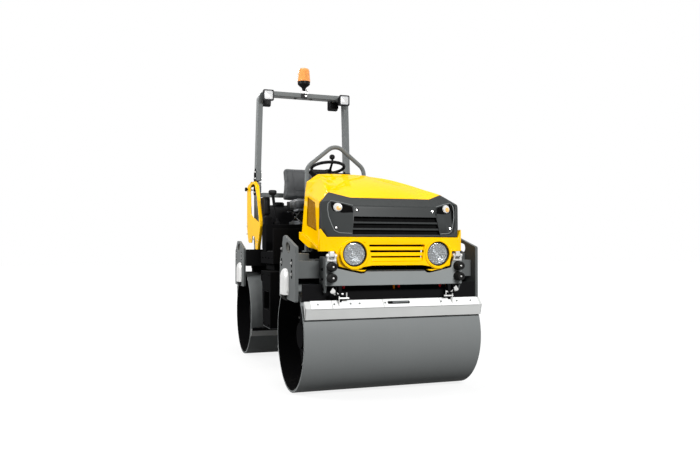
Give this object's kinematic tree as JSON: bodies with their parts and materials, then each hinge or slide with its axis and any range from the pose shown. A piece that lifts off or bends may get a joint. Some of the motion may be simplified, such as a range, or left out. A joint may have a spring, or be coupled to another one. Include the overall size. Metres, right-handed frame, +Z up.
{
  "type": "tandem road roller",
  "caption": "Ride-on articulated tandem road roller with two smooth drums, tilting hood, folding roll bar, operator seat and amber beacon.",
  "frame": {"origin": "on the ground midway between the drum axles, on the steering axis, at the middle of the overall length and width", "axes": "+Z up, -Y towards the front of the machine, -X towards the operator's right"},
  "size_m": [1.3158, 2.524, 2.6298],
  "materials": {
    "yellow": "gloss yellow paint",
    "frame_grey": "satin grey paint",
    "rops_grey": "satin grey paint",
    "drum_steel": "dark satin steel",
    "mask_grey": "moulded dark grey",
    "black_plastic": "moulded black",
    "seat_vinyl": "black vinyl",
    "seat_steel": "grey paint",
    "rubber": "black rubber",
    "zinc": "zinc plated",
    "white_steel": "galvanised and pale",
    "engine": "plain block",
    "lamp_glass": "clear lens",
    "amber": "amber lens",
    "red_lens": "red lens",
    "white_lens": "white lens"
  },
  "bodies": {
    "rear_frame": {"rear_chassis": "frame_grey", "rear_side_plates": "frame_grey", "rear_hose_covers": "white_steel", "rear_buffers": "rubber", "rear_scrapers": "white_steel", "rear_spray_bar": "zinc", "boarding_steps": "frame_grey", "platform": "black_plastic", "podium": "black_plastic", "water_tank": "black_plastic", "cowl": "black_plastic", "dashboard": "black_plastic", "handrail": "rops_grey", "steering_column": "black_plastic", "seat_base": "seat_steel", "seat_cushion": "seat_vinyl", "seat_back": "seat_vinyl", "hip_guards": "black_plastic", "drive_lever": "black_plastic", "rops_panels": "yellow", "rops_posts": "rops_grey", "tail_lamps": "red_lens", "king_pin": "zinc"},
    "joint_block": {"joint_block": "frame_grey"},
    "front_frame": {"front_chassis": "frame_grey", "front_side_plates": "frame_grey", "front_hose_covers": "white_steel", "front_plate": "frame_grey", "front_buffers": "rubber", "engine_block": "engine", "hood_hinges": "zinc", "front_scrapers": "white_steel", "front_spray_bar": "zinc"},
    "hood": {"hood_shell": "yellow", "side_mesh": "yellow", "hood_mask": "mask_grey", "grille": "mask_grey", "bumper": "yellow", "headlights": "lamp_glass", "indicators": "white_lens", "hinge_leaves": "zinc"},
    "front_drum": {"front_drum": "drum_steel"},
    "rear_drum": {"rear_drum": "drum_steel"},
    "rops_top": {"rops_frame": "rops_grey", "work_lamps": "black_plastic", "beacon_base": "black_plastic", "beacon_dome": "amber"},
    "steering_wheel": {"steering_wheel": "black_plastic"},
    "steering_barrel": {"steering_barrel": "black_plastic"},
    "steering_rod": {"steering_rod": "zinc"}
  },
  "joints": [
    {"name": "steer", "type": "hinge", "parent": "rear_frame", "child": "joint_block", "pos_m": [0, 0, 0.43], "axis": [0, 0, 1], "range_deg": [-30, 30]},
    {"name": "oscillate", "type": "hinge", "parent": "joint_block", "child": "front_frame", "pos_m": [0, -0.2, 0.43], "axis": [0, -1, 0], "range_deg": [-8, 8]},
    {"name": "hood_tilt", "type": "hinge", "parent": "front_frame", "child": "hood", "pos_m": [0, -1.205, 0.885], "axis": [1, 0, 0], "range_deg": [0, 55]},
    {"name": "front_drum_spin", "type": "hinge", "parent": "front_frame", "child": "front_drum", "pos_m": [0, -0.85, 0.36], "axis": [1, 0, 0], "continuous": true},
    {"name": "rear_drum_spin", "type": "hinge", "parent": "rear_frame", "child": "rear_drum", "pos_m": [0, 0.85, 0.36], "axis": [1, 0, 0], "continuous": true},
    {"name": "rops_fold", "type": "hinge", "parent": "rear_frame", "child": "rops_top", "pos_m": [0, 1.136, 1.54], "axis": [-1, 0, 0], "range_deg": [0, 100]},
    {"name": "wheel_turn", "type": "hinge", "parent": "rear_frame", "child": "steering_wheel", "pos_m": [0, 0.268, 1.6], "axis": [0, 0.2419, 0.9703], "continuous": true},
    {"name": "cylinder_swing", "type": "hinge", "parent": "rear_frame", "child": "steering_barrel", "pos_m": [0.165, 0.3, 0.545], "axis": [0, 0, 1], "range_deg": [-6, 6]},
    {"name": "cylinder_stroke", "type": "slide", "parent": "steering_barrel", "child": "steering_rod", "axis": [-0.1803, -0.9836, 0], "range_m": [-0.08, 0.08]}
  ],
  "couplings": [
    {"joint": "cylinder_swing", "follows": "steer", "ratio": -0.0796},
    {"joint": "cylinder_stroke", "follows": "steer", "m_per_rad": -0.1022}
  ]
}
